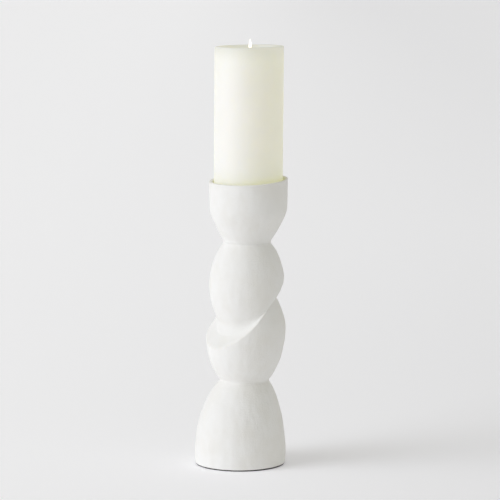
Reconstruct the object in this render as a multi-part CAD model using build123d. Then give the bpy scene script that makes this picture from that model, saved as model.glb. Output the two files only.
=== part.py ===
from build123d import *
import math
import os

# Pillar candle holder of painted wood, with its candle.
# Four carved forms stand on each other: a domed foot, two egg-shaped bulbs that meet on a
# slanting cut, and a cup. Glued dowels join them. The candle stands in the cup and lifts out.
# Millimetres. +Z is up, +X is to the right and +Y is to the back.
# The origin is on the table, at the centre of the pad under the foot.

# ---- Driving dimensions ----

# Pad under the foot
PAD_THICKNESS = 1.0
PAD_INSET = 1.0

# Foot: an upright half egg whose top drifts off to the side, as a carved form does
FOOT_RADIUS = 48.8
FOOT_WIDEST_HEIGHT = 11.5
FOOT_DRIFT_POWER = 3.0
FOOT_SECTION_HEIGHTS = (PAD_THICKNESS, 14.0, 32.0, 50.0, 66.0, 80.0)
FOOT_EDGE_ROUND = 1.0

# Lower neck, where the foot meets the lower bulb
LOWER_NECK_HEIGHT = 91.0
LOWER_NECK_RADIUS = 25.5

# Lower bulb
LOWER_BULB_CENTRE = (5.5, 0.3, 140.2)
LOWER_BULB_RADIUS = 42.0
LOWER_BULB_LEAN_RIGHT = 2.0

# Slanting cut between the bulbs. It rises to the right and to the back.
WAIST_POINT = (6.2, 0.0, 170.2)
WAIST_RISE_RIGHT = 0.80
WAIST_RISE_BACK = 0.585

# Upper bulb
UPPER_BULB_CENTRE = (7.3, -0.3, 193.9)
UPPER_BULB_RADIUS = 40.1
UPPER_BULB_LEAN_RIGHT = 0.5

# Upper neck, where the upper bulb meets the cup
UPPER_NECK_HEIGHT = 239.9
UPPER_NECK_RADIUS = 25.0

# Cup
HOLDER_HEIGHT = 306.5
CUP_AXIS_FOOT = (7.4, -0.3, UPPER_NECK_HEIGHT)
CUP_LEAN_RIGHT = 1.2
CUP_RIM_RADIUS = 42.1
CUP_WALL_FOOT_RADIUS = 41.3
CUP_WALL_FOOT_HEIGHT = 278.5
CUP_SHOULDER_RADIUS = 38.3
CUP_SHOULDER_HEIGHT = 265.5
RIM_RISE_RIGHT = 0.040
RIM_RISE_BACK = 0.056
RIM_ROUND = 0.6
RECESS_RADIUS = 39.3
RECESS_DEPTH = 12.0
RECESS_CENTRE = (8.6, 0.0)
CUP_TRIM = 8.0  # spare height above and below, cut off by the rim's and the neck's planes

# Drip pan, a shallow pressed dish on the recess floor
PAN_RADIUS = 38.8
PAN_SHEET = 0.6
PAN_WALL_HEIGHT = 5.0
PAN_CORNER_RADIUS = 1.6

# Candle, a nominal 3 by 6 inch pillar
CANDLE_RADIUS = 36.7
CANDLE_HEIGHT = 152.8
CANDLE_SEAT_GAP = 0.2
CANDLE_CENTRE = (9.2, 0.0)
CANDLE_TOP_ROUND = 1.6
CANDLE_FOOT_ROUND = 1.0
WELL_RADIUS = 32.0
WELL_DEPTH = 9.0

# Wick
WICK_RADIUS = 1.2
WICK_STRAIGHT_ABOVE_WAX = 3.0
WICK_BEND_RADIUS = 7.0
WICK_BEND_ANGLE = 38.0

# Dowels
NECK_DOWEL_RADIUS = 8.0
NECK_DOWEL_HALF_LENGTH = 26.0
WAIST_DOWEL_RADIUS = 10.0
WAIST_DOWEL_HALF_LENGTH = 24.0
DOWEL_END_CHAMFER = 1.5
GLUE_SPACE = 1.0

# ---- Planes that the forms meet on ----

LOWER_NECK_PLANE = Plane(origin=(0, 0, LOWER_NECK_HEIGHT), z_dir=(0, 0, 1))
UPPER_NECK_PLANE = Plane(origin=(0, 0, UPPER_NECK_HEIGHT), z_dir=(0, 0, 1))
WAIST_PLANE = Plane(origin=WAIST_POINT, z_dir=(-WAIST_RISE_RIGHT, -WAIST_RISE_BACK, 1))
RIM_PLANE = Plane(
    origin=(*RECESS_CENTRE, HOLDER_HEIGHT),
    z_dir=(-RIM_RISE_RIGHT, -RIM_RISE_BACK, 1),
)


# ---- Shapes that several parts share ----

def half_height_through(radius, centre_height, neck_height, neck_radius):
    """Half height of an egg of this radius whose section is neck_radius at neck_height."""
    reach = abs(neck_height - centre_height)
    return reach / math.sqrt(1 - (neck_radius / radius) ** 2)


def axis_offset_at(height, centre, lean_right, radius, half_height):
    """X of the middle of a leaning egg's level section at the given height."""
    shear = (1 - (radius / half_height) ** 2) * math.radians(lean_right)
    return centre[0] + shear * (height - centre[2])


def egg(centre, radius, half_height, lean_right):
    """A solid egg: half an ellipse turned about its long axis, then leaned to the right."""
    outline = EllipticalCenterArc((0, 0), radius, half_height, start_angle=-90, arc_size=180)
    chord = Line((0, half_height), (0, -half_height))
    half_section = Plane.XZ * make_face([outline, chord])
    solid = revolve(half_section, Axis.Z)
    return Pos(*centre) * Rot(0, lean_right, 0) * solid


def dowel(plane, radius, half_length):
    """A chamfered dowel across the plane, half on each side."""
    rod = Cylinder(radius, 2 * half_length)
    rod = chamfer(rod.edges().filter_by(GeomType.CIRCLE), DOWEL_END_CHAMFER)
    return plane * rod


def dowel_hole(plane, radius, half_length):
    """The hole for such a dowel, longer at each end by the space left for glue."""
    return plane * Cylinder(radius, 2 * (half_length + GLUE_SPACE))


# ---- Positions worked out from the driving dimensions ----

LOWER_BULB_HALF_HEIGHT = half_height_through(
    LOWER_BULB_RADIUS, LOWER_BULB_CENTRE[2], LOWER_NECK_HEIGHT, LOWER_NECK_RADIUS)
UPPER_BULB_HALF_HEIGHT = half_height_through(
    UPPER_BULB_RADIUS, UPPER_BULB_CENTRE[2], UPPER_NECK_HEIGHT, UPPER_NECK_RADIUS)
FOOT_HALF_HEIGHT = half_height_through(
    FOOT_RADIUS, FOOT_WIDEST_HEIGHT, LOWER_NECK_HEIGHT, LOWER_NECK_RADIUS)

LOWER_NECK_CENTRE = (
    axis_offset_at(LOWER_NECK_HEIGHT, LOWER_BULB_CENTRE, LOWER_BULB_LEAN_RIGHT,
                   LOWER_BULB_RADIUS, LOWER_BULB_HALF_HEIGHT),
    LOWER_BULB_CENTRE[1],
)

LOWER_NECK_JOINT = Plane(origin=(*LOWER_NECK_CENTRE, LOWER_NECK_HEIGHT), z_dir=(0, 0, 1))
UPPER_NECK_JOINT = Plane(origin=CUP_AXIS_FOOT, z_dir=(0, 0, 1))

RECESS_FLOOR = HOLDER_HEIGHT - RECESS_DEPTH
CANDLE_FOOT_HEIGHT = RECESS_FLOOR + PAN_SHEET + CANDLE_SEAT_GAP
CANDLE_TOP = CANDLE_FOOT_HEIGHT + CANDLE_HEIGHT
WELL_FLOOR = CANDLE_TOP - WELL_DEPTH


# ---- Parts of the holder ----

def make_base_pad():
    pad_radius = foot_radius_at(PAD_THICKNESS) - PAD_INSET
    return Pos(0, 0, PAD_THICKNESS / 2) * Cylinder(pad_radius, PAD_THICKNESS)


def foot_radius_at(height):
    share = (height - FOOT_WIDEST_HEIGHT) / FOOT_HALF_HEIGHT
    return FOOT_RADIUS * math.sqrt(1 - share ** 2)


def foot_section(height):
    """A level round section of the foot, with its middle drifting towards the neck's."""
    drift = (height / LOWER_NECK_HEIGHT) ** FOOT_DRIFT_POWER
    middle_x = drift * LOWER_NECK_CENTRE[0]
    middle_y = drift * LOWER_NECK_CENTRE[1]
    return Pos(middle_x, middle_y, height) * Circle(foot_radius_at(height))


def make_foot():
    heights = (*FOOT_SECTION_HEIGHTS, LOWER_NECK_HEIGHT)
    foot = loft([foot_section(height) for height in heights])
    bottom_edge = foot.edges().sort_by(Axis.Z)[0]
    foot = fillet(bottom_edge, FOOT_EDGE_ROUND)
    return foot - dowel_hole(LOWER_NECK_JOINT, NECK_DOWEL_RADIUS, NECK_DOWEL_HALF_LENGTH)


def make_lower_bulb():
    bulb = egg(LOWER_BULB_CENTRE, LOWER_BULB_RADIUS, LOWER_BULB_HALF_HEIGHT, LOWER_BULB_LEAN_RIGHT)
    bulb = split(bulb, LOWER_NECK_PLANE, keep=Keep.TOP)
    bulb = split(bulb, WAIST_PLANE, keep=Keep.BOTTOM)
    bulb = bulb - dowel_hole(LOWER_NECK_JOINT, NECK_DOWEL_RADIUS, NECK_DOWEL_HALF_LENGTH)
    return bulb - dowel_hole(WAIST_PLANE, WAIST_DOWEL_RADIUS, WAIST_DOWEL_HALF_LENGTH)


def make_upper_bulb():
    bulb = egg(UPPER_BULB_CENTRE, UPPER_BULB_RADIUS, UPPER_BULB_HALF_HEIGHT, UPPER_BULB_LEAN_RIGHT)
    bulb = split(bulb, UPPER_NECK_PLANE, keep=Keep.BOTTOM)
    bulb = split(bulb, WAIST_PLANE, keep=Keep.TOP)
    bulb = bulb - dowel_hole(UPPER_NECK_JOINT, NECK_DOWEL_RADIUS, NECK_DOWEL_HALF_LENGTH)
    return bulb - dowel_hole(WAIST_PLANE, WAIST_DOWEL_RADIUS, WAIST_DOWEL_HALF_LENGTH)


def make_cup():
    """The cup's outline is turned about its own axis, which leans a little to the right."""
    wall_top = (CUP_RIM_RADIUS, HOLDER_HEIGHT - UPPER_NECK_HEIGHT + CUP_TRIM)
    wall_foot = (CUP_WALL_FOOT_RADIUS, CUP_WALL_FOOT_HEIGHT - UPPER_NECK_HEIGHT)
    shoulder = (CUP_SHOULDER_RADIUS, CUP_SHOULDER_HEIGHT - UPPER_NECK_HEIGHT)
    neck = (UPPER_NECK_RADIUS, 0)
    wall = Line(wall_top, wall_foot)
    shoulder_arc = TangentArc(wall_foot, shoulder, tangent=wall % 1)
    belly_arc = TangentArc(shoulder, neck, tangent=shoulder_arc % 1)
    closing = Polyline(neck, (UPPER_NECK_RADIUS, -CUP_TRIM), (0, -CUP_TRIM), (0, wall_top[1]), wall_top)
    half_section = Plane.XZ * make_face([wall, shoulder_arc, belly_arc, *closing.edges()])
    cup = Pos(*CUP_AXIS_FOOT) * Rot(0, CUP_LEAN_RIGHT, 0) * revolve(half_section, Axis.Z)
    cup = split(cup, UPPER_NECK_PLANE, keep=Keep.TOP)
    cup = split(cup, RIM_PLANE, keep=Keep.BOTTOM)
    recess = Pos(*RECESS_CENTRE, RECESS_FLOOR) * Cylinder(
        RECESS_RADIUS, 2 * RECESS_DEPTH, align=(Align.CENTER, Align.CENTER, Align.MIN))
    cup = cup - recess
    rim_edges = cup.faces().filter_by(RIM_PLANE).sort_by(Axis.Z)[-1].edges()
    cup = fillet(rim_edges, RIM_ROUND)
    return cup - dowel_hole(UPPER_NECK_JOINT, NECK_DOWEL_RADIUS, NECK_DOWEL_HALF_LENGTH)


def make_drip_pan():
    """A thin pressed dish: a solid disc with its inside taken out, floor on the recess floor."""
    blank = Cylinder(PAN_RADIUS, PAN_WALL_HEIGHT, align=(Align.CENTER, Align.CENTER, Align.MIN))
    blank = fillet(blank.faces().sort_by(Axis.Z)[0].edges(), PAN_CORNER_RADIUS)
    inside = Pos(0, 0, PAN_SHEET) * Cylinder(
        PAN_RADIUS - PAN_SHEET, PAN_WALL_HEIGHT, align=(Align.CENTER, Align.CENTER, Align.MIN))
    inside = fillet(inside.faces().sort_by(Axis.Z)[0].edges(), PAN_CORNER_RADIUS - PAN_SHEET)
    return Pos(*RECESS_CENTRE, RECESS_FLOOR) * (blank - inside)


# ---- Parts of the candle ----

def make_candle():
    """The wax pillar, with a bowl-shaped well burnt into its top and a hole for the wick."""
    wax = Cylinder(CANDLE_RADIUS, CANDLE_HEIGHT, align=(Align.CENTER, Align.CENTER, Align.MIN))
    wax = fillet(wax.faces().sort_by(Axis.Z)[-1].edges(), CANDLE_TOP_ROUND)
    wax = fillet(wax.faces().sort_by(Axis.Z)[0].edges(), CANDLE_FOOT_ROUND)
    well = Pos(0, 0, CANDLE_HEIGHT) * egg((0, 0, 0), WELL_RADIUS, WELL_DEPTH, 0)
    wax = wax - well
    wax = wax - Cylinder(WICK_RADIUS, CANDLE_HEIGHT, align=(Align.CENTER, Align.CENTER, Align.MIN))
    return Pos(*CANDLE_CENTRE, CANDLE_FOOT_HEIGHT) * wax


def make_wick():
    """The braided wick runs the candle's whole length and curls over above the melted wax."""
    straight_end = WELL_FLOOR + WICK_STRAIGHT_ABOVE_WAX
    start = Vector(*CANDLE_CENTRE, CANDLE_FOOT_HEIGHT)
    bend = Vector(*CANDLE_CENTRE, straight_end)
    turn = math.radians(WICK_BEND_ANGLE)
    side = WICK_BEND_RADIUS * (1 - math.cos(turn))
    rise = WICK_BEND_RADIUS * math.sin(turn)
    path = Line(start, bend) + TangentArc(bend, bend + Vector(side, 0, rise), tangent=(0, 0, 1))
    section = Pos(start) * Circle(WICK_RADIUS)
    return sweep(section, path=path)


PARTS = {
    "base_pad": make_base_pad,
    "foot": make_foot,
    "lower_neck_dowel": lambda: dowel(LOWER_NECK_JOINT, NECK_DOWEL_RADIUS, NECK_DOWEL_HALF_LENGTH),
    "lower_bulb": make_lower_bulb,
    "waist_dowel": lambda: dowel(WAIST_PLANE, WAIST_DOWEL_RADIUS, WAIST_DOWEL_HALF_LENGTH),
    "upper_bulb": make_upper_bulb,
    "upper_neck_dowel": lambda: dowel(UPPER_NECK_JOINT, NECK_DOWEL_RADIUS, NECK_DOWEL_HALF_LENGTH),
    "cup": make_cup,
    "drip_pan": make_drip_pan,
    "candle": make_candle,
    "wick": make_wick,
}

os.makedirs("parts", exist_ok=True)
for name, make in PARTS.items():
    part = make()
    export_step(part, f"parts/{name}.step")
    print(f"{name}: {part.volume / 1000:.1f} cm3")
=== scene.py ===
import math

import bmesh
import bpy
import numpy as np
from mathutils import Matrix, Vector, noise


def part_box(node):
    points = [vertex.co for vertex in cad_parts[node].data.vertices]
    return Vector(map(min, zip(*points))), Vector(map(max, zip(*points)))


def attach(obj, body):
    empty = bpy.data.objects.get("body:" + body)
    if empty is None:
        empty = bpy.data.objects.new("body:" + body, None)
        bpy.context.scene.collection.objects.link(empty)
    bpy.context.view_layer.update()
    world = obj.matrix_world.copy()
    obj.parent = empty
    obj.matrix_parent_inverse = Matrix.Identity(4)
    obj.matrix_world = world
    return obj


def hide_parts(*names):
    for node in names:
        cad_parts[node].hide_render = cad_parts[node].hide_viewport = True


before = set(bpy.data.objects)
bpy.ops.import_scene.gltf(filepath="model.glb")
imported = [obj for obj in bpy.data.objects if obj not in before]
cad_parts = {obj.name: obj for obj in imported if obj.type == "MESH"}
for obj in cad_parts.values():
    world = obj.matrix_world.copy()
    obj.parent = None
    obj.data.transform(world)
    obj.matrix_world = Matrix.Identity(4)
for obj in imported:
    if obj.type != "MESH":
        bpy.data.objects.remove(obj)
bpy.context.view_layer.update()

# Looks of a painted, hand-carved pillar candlestick and its lit candle.
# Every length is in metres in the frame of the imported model: +Z up, +X right, +Y back.

MM = 0.001

# ---- Sizes of the carved forms, which follow the solids closely ----

# The felt is this much thicker than its solid, and the foot's underside is as much higher.
FELT_SPRING = 0.3 * MM
FOOT_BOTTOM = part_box("foot")[0].z + FELT_SPRING
LOWER_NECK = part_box("foot")[1].z
UPPER_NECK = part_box("upper_bulb")[1].z
RECESS_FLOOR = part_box("drip_pan")[0].z
CANDLE_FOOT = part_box("candle")[0].z
CANDLE_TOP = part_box("candle")[1].z

FOOT_RADIUS = 48.8 * MM
FOOT_WIDEST = 11.5 * MM
FOOT_DRIFT_POWER = 3.0
LOWER_NECK_RADIUS = 25.5 * MM
UPPER_NECK_RADIUS = 23.9 * MM
WAIST_POINT = (6.2 * MM, 0.0, 170.2 * MM)
WAIST_RISE = (0.80, 0.585)
RIM_CENTRE = (8.6 * MM, 0.0, 306.5 * MM)
RIM_RISE = (0.040, 0.056)
CUP_LEAN = math.radians(1.2)
CUP_AXIS_FOOT = (7.4 * MM, -0.3 * MM)
CUP_RIM_RADIUS = 42.1 * MM
CUP_WALL_FOOT_RADIUS = 41.3 * MM
CUP_WALL_FOOT = 278.5 * MM
CUP_SHOULDER_RADIUS = 38.3 * MM
CUP_SHOULDER = 265.5 * MM
RECESS_RADIUS = 39.3 * MM
NECK_DOWEL_RADIUS = 8.0 * MM
NECK_HOLE_DEPTH = 27.0 * MM
WAIST_DOWEL_RADIUS = 10.0 * MM
WAIST_HOLE_DEPTH = 25.0 * MM

# ---- Fineness of the meshes ----

AROUND = 288
BODY_STEP = 1.6 * MM
NECK_STEPS = (0.25, 0.5, 0.75, 1.2, 1.7)
CUT_FACE_ROWS = 24
HALVINGS = 40
HOLE_MOUTH_SHARE = 1.4
HOLE_END_SHARE = 0.3

# ---- Hand of the carver: soft edges, filled creases, slow dents ----

LOWER_NECK_FILL = 0.8 * MM
UPPER_NECK_FILL = 1.4 * MM
ARRIS_SOFTNESS = 0.5 * MM
ARRIS_SOFTNESS_SHARE = 0.09
CREASE_FILL = 0.5 * MM
CREASE_FILL_SHARE = 0.36
CREASE_FLATNESS = 0.4
CREASE_SINK = 0.45 * MM
CROSSING_SOFTNESS = 0.3 * MM
CROSSING_WIDTH = 4.0 * MM
CROSSING_FILL = 0.7 * MM
CROSSING_FILL_REACH = 5.0 * MM
SHOULDER_WEAR = 3.2 * MM
SHOULDER_WEAR_ANGLE = math.radians(152.0)
SHOULDER_SWELL = 1.5 * MM
SHOULDER_FOOT = 140.0 * MM
SHOULDER_HEIGHT = 152.0 * MM
SHOULDER_FADE = 13.0 * MM
CUP_BELLY_SHIFT = 0.8 * MM
RIM_THICKENING = 1.4 * MM
THICK_WALL_FOOT = 300.0 * MM
# The felt's extra thickness at the right: a dark band that stands in for the contact shadow there.
FELT_SHADE_LIFT = 0.35 * MM
LEDGE_WAVE_DEPTH = 0.45 * MM
LEDGE_WAVE_SIZE = 22.0 * MM
RIM_WAVE_DEPTH = 0.5 * MM
RIM_WAVE_SIZE = 24.0 * MM

# How far round each crease or arris a ring lies, and how strongly it is rubbed there (at an arris) or
# painted with shade there (in a crease).
ARRIS_RINGS = ((0.15, 0.6), (0.3, 0.9), (0.45, 1.0), (0.6, 1.0), (0.75, 0.8), (0.88, 0.6),
               (0.95, 0.5), (1.0, 0.4))

# Each kind of unevenness has a seed of its own, so that no two of them line up.
LEDGE_SEED = 3
RIM_SEED = 5
FELT_SEED = 11
WAX_WALL_SEED = 21
WAX_RIM_SEED = 22
WAX_SHORE_SEED = 24

# Marks on every carved face: slow dents, upright marks of the gouge and finer upright ripples.
# Each has a depth, a width, a factor below 1 that draws it out upwards, and a seed.
TOOL_MARKS = ((0.30 * MM, 17.0 * MM, 1.0, 1), (0.30 * MM, 6.5 * MM, 0.45, 2),
              (0.08 * MM, 2.8 * MM, 0.4, 4))

angles = np.linspace(0, 2 * math.pi, AROUND, endpoint=False)
outward = np.stack([np.cos(angles), np.sin(angles), np.zeros(AROUND)], axis=1)


# ---- Small tools ----

def smooth_noise(points, size, seed):
    """Gentle noise from -1 to 1 at each point, with lumps of about the given size."""
    offset = Vector((7.3, 3.1, 5.7)) * seed
    return np.array([noise.noise(Vector(point) / size + offset) for point in points])


def bezier(start, corner, end, share):
    """A point on the curve that rounds off a corner, for every ring position at once."""
    return (1 - share) ** 2 * start + 2 * share * (1 - share) * corner + share ** 2 * end


def smooth_step(value):
    """Rises smoothly from 0 to 1 while the value goes from 0 to 1."""
    clipped = np.clip(value, 0, 1)
    return clipped * clipped * (3 - 2 * clipped)


def ring(centre, radius, height):
    """A ring round a centre, an XY pair. All three may be one value or one for each angle."""
    points = outward * np.reshape(np.broadcast_to(radius, AROUND), (AROUND, 1))
    points[:, 0] += centre[0]
    points[:, 1] += centre[1]
    points[:, 2] = height
    return points


def new_object(name, data):
    """A new object in the scene that shows a mesh, a lamp or a camera."""
    added = bpy.data.objects.new(name, data)
    bpy.context.scene.collection.objects.link(added)
    return added


def mesh_from_rings(name, rings, edge_wear_and_crease_shade=None):
    """A closed skin through the rings, in order, with its two ends closed by a fan. Edge wear and crease
    shade is a value, or one for each angle, for each ring: above 0 is rubbed paint and below 0 is
    painted shade in a crease."""
    around = len(rings[0])
    vertices = [tuple(point) for one_ring in rings for point in one_ring]
    faces = []
    for row in range(len(rings) - 1):
        for column in range(around):
            after = (column + 1) % around
            faces.append((row * around + column, row * around + after,
                          (row + 1) * around + after, (row + 1) * around + column))
    first_centre = len(vertices)
    vertices.append(tuple(np.mean(rings[0], axis=0)))
    last_centre = len(vertices)
    vertices.append(tuple(np.mean(rings[-1], axis=0)))
    last_row = (len(rings) - 1) * around
    for column in range(around):
        after = (column + 1) % around
        faces.append((first_centre, after, column))
        faces.append((last_centre, last_row + column, last_row + after))
    mesh = bpy.data.meshes.new(name)
    mesh.from_pydata(vertices, [], faces)
    mesh.update()
    editable = bmesh.new()
    editable.from_mesh(mesh)
    bmesh.ops.recalc_face_normals(editable, faces=editable.faces)
    editable.to_mesh(mesh)
    editable.free()
    mesh.shade_smooth()
    if edge_wear_and_crease_shade is not None:
        attribute = mesh.attributes.new("edge_wear_and_crease_shade", "FLOAT", "POINT")
        each_ring = [np.broadcast_to(value, around) for value in edge_wear_and_crease_shade]
        fan_centres = [[0.0, 0.0]]
        values = np.concatenate(each_ring + fan_centres)
        attribute.data.foreach_set("value", values.astype(np.float32))
    return new_object(name, mesh)


def finish_piece(piece, body, slot, material, *nodes):
    """Gives a piece its material and its body, and hides the CAD nodes it stands for. Its slot is not
    used.
    """
    piece.data.materials.append(material)
    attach(piece, body)
    if nodes:
        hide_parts(*nodes)


# ---- Eggs: the bulbs' forms ----

class Egg:
    """An egg that leans to the right, cut where its section has the given neck radius."""

    def __init__(self, centre, radius, lean_degrees, neck, neck_radius):
        self.centre = centre
        self.radius = radius
        self.half_height = abs(neck - centre[2]) / math.sqrt(1 - (neck_radius / radius) ** 2)
        self.lean = math.radians(lean_degrees)

    def middle(self, height):
        """XY of the middle of the level section at this height."""
        shear = (1 - (self.radius / self.half_height) ** 2) * self.lean
        rise = np.asarray(height) - self.centre[2]
        return self.centre[0] + shear * rise, self.centre[1] + 0.0 * rise

    def reach(self, height):
        """Radius of the level section at each height."""
        share = (np.asarray(height) - self.centre[2]) / self.half_height
        return self.radius * np.sqrt(np.clip(1 - share ** 2, 0.0, 1))

    def slope_at(self, height):
        """How fast the section's radius grows with height."""
        share = self.radius / self.half_height
        return -share ** 2 * (height - self.centre[2]) / float(self.reach(height))

    def surface(self, height):
        """A ring of surface points, one at each angle, each at its own height."""
        return ring(self.middle(height), self.reach(height), height)


LOWER_EGG = Egg((5.5 * MM, 0.3 * MM, 140.2 * MM), 42.0 * MM, 2.0, LOWER_NECK, LOWER_NECK_RADIUS)
UPPER_EGG = Egg((7.3 * MM, -0.3 * MM, 193.9 * MM), 40.1 * MM, 0.5, UPPER_NECK, UPPER_NECK_RADIUS)


# ---- Planes that the carver cut, which aren't quite flat ----

def cut_height(points, middle, rise, wave_depth, wave_size, seed):
    """Height of a wavy, slanting plane above or below each point."""
    flat = (middle[2] + rise[0] * (points[:, 0] - middle[0])
            + rise[1] * (points[:, 1] - middle[1]))
    return flat + wave_depth * smooth_noise(points * (1, 1, 0), wave_size, seed)


def waist_height(points):
    """Height of the slanting cut above or below each point."""
    return cut_height(points, WAIST_POINT, WAIST_RISE, LEDGE_WAVE_DEPTH, LEDGE_WAVE_SIZE, LEDGE_SEED)


def rim_height(points):
    """Height of the cup's rim at each point."""
    return cut_height(points, RIM_CENTRE, RIM_RISE, RIM_WAVE_DEPTH, RIM_WAVE_SIZE, RIM_SEED)


def dented(points, centre, strength=1.0):
    """The points pushed in or out, away from a centre, by the tool marks."""
    push = 0.0
    for depth, width, stretch, seed in TOOL_MARKS:
        push = push + depth * smooth_noise(points * (1, 1, stretch), width, seed)
    away = points - np.array([centre[0], centre[1], 0.0])
    away[:, 2] = 0.0
    length = np.linalg.norm(away, axis=1, keepdims=True)
    return points + away / np.maximum(length, MM) * (push * strength)[:, None]


def shoulder_push(points):
    """The lower bulb isn't even: under the slanting cut it is worn away at the back left and
    swells on the right."""
    height = points[:, 2]
    facing_wear = (outward[:, 0] * math.cos(SHOULDER_WEAR_ANGLE)
                   + outward[:, 1] * math.sin(SHOULDER_WEAR_ANGLE))
    worn = smooth_step((height - SHOULDER_FOOT) / SHOULDER_FADE) * np.maximum(facing_wear, 0) ** 4
    swell = (np.exp(-((height - SHOULDER_HEIGHT) / SHOULDER_FADE) ** 2 / 2)
             * np.maximum(outward[:, 0], 0) ** 2)
    return SHOULDER_SWELL * swell - SHOULDER_WEAR * worn


def neck_fill(distance, slope, depth):
    """How much paint and sanding fill out a crease, at this distance from it."""
    reach = 2 * depth / abs(slope)
    return depth * np.clip(1 - distance / reach, 0, 1) ** 2


# ---- Dowel holes ----

def neck_hole(centre, face_height, direction):
    """Rings from a level face into a blind round hole. Direction is +1 up or -1 down."""
    end = face_height + direction * NECK_HOLE_DEPTH
    steps = ((HOLE_MOUTH_SHARE, face_height), (1, face_height), (1, end), (HOLE_END_SHARE, end))
    return [ring(centre, NECK_DOWEL_RADIUS * share, height) for share, height in steps]


WAIST_NORMAL = Vector((-WAIST_RISE[0], -WAIST_RISE[1], 1.0)).normalized()


def waist_ring(radius, depth):
    """A ring square to the slanting cut's normal, at this depth along the normal."""
    level_x = Vector((1, 0, 0)) - WAIST_NORMAL * WAIST_NORMAL.x
    across = level_x.normalized()
    along = WAIST_NORMAL.cross(across)
    centre = Vector(WAIST_POINT) + WAIST_NORMAL * depth
    points = [centre + radius * (math.cos(a) * across + math.sin(a) * along) for a in angles]
    return np.array([tuple(point) for point in points])


def waist_hole(direction):
    """Rings from the slanting cut into the hole for its dowel. Direction is +1 up or -1 down."""
    end = direction * WAIST_HOLE_DEPTH
    return [waist_ring(WAIST_DOWEL_RADIUS, 0.0), waist_ring(WAIST_DOWEL_RADIUS, end),
            waist_ring(WAIST_DOWEL_RADIUS * HOLE_END_SHARE, end)]


# ---- The bulbs' skins ----

def waist_meeting(egg):
    """Heights at which an egg's surface meets the slanting cut, one for each angle."""
    low = np.full(AROUND, LOWER_NECK)
    high = np.full(AROUND, UPPER_NECK)
    nearly_all = 0.995 * egg.half_height
    for _ in range(HALVINGS):
        middle = (low + high) / 2
        on_egg = np.clip(middle, egg.centre[2] - nearly_all, egg.centre[2] + nearly_all)
        above = middle > waist_height(egg.surface(on_egg))
        high = np.where(above, middle, high)
        low = np.where(above, low, middle)
    return (low + high) / 2


def standing_clear(edge, axis, other):
    """How much further from the axis the other bulb stands than this one, along the cut."""
    other_edge = other.surface(waist_meeting(other))
    own_spread = np.linalg.norm((edge - axis)[:, :2], axis=1)
    other_spread = np.linalg.norm((other_edge - axis)[:, :2], axis=1)
    return other_spread - own_spread


def cut_face_rings(face_start, sink):
    """Rings across the slanting cut, from inside the bulb's edge to the dowel hole. Also gives
    how many places the hole's rings are rolled, so that they start where the edge does."""
    hole_edge = waist_ring(WAIST_DOWEL_RADIUS, 0.0)
    hole_start = np.array(WAIST_POINT) + outward[0] * WAIST_DOWEL_RADIUS
    roll = -int(np.argmin(np.linalg.norm(hole_edge - hole_start, axis=1)))
    rings = []
    for share in np.linspace(0, 1, CUT_FACE_ROWS)[1:-1]:
        points = face_start * (1 - share) + np.roll(hole_edge, roll, axis=0) * share
        points[:, 2] = waist_height(points) + sink * (1 - share)
        rings.append(points)
    return rings, roll


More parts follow.
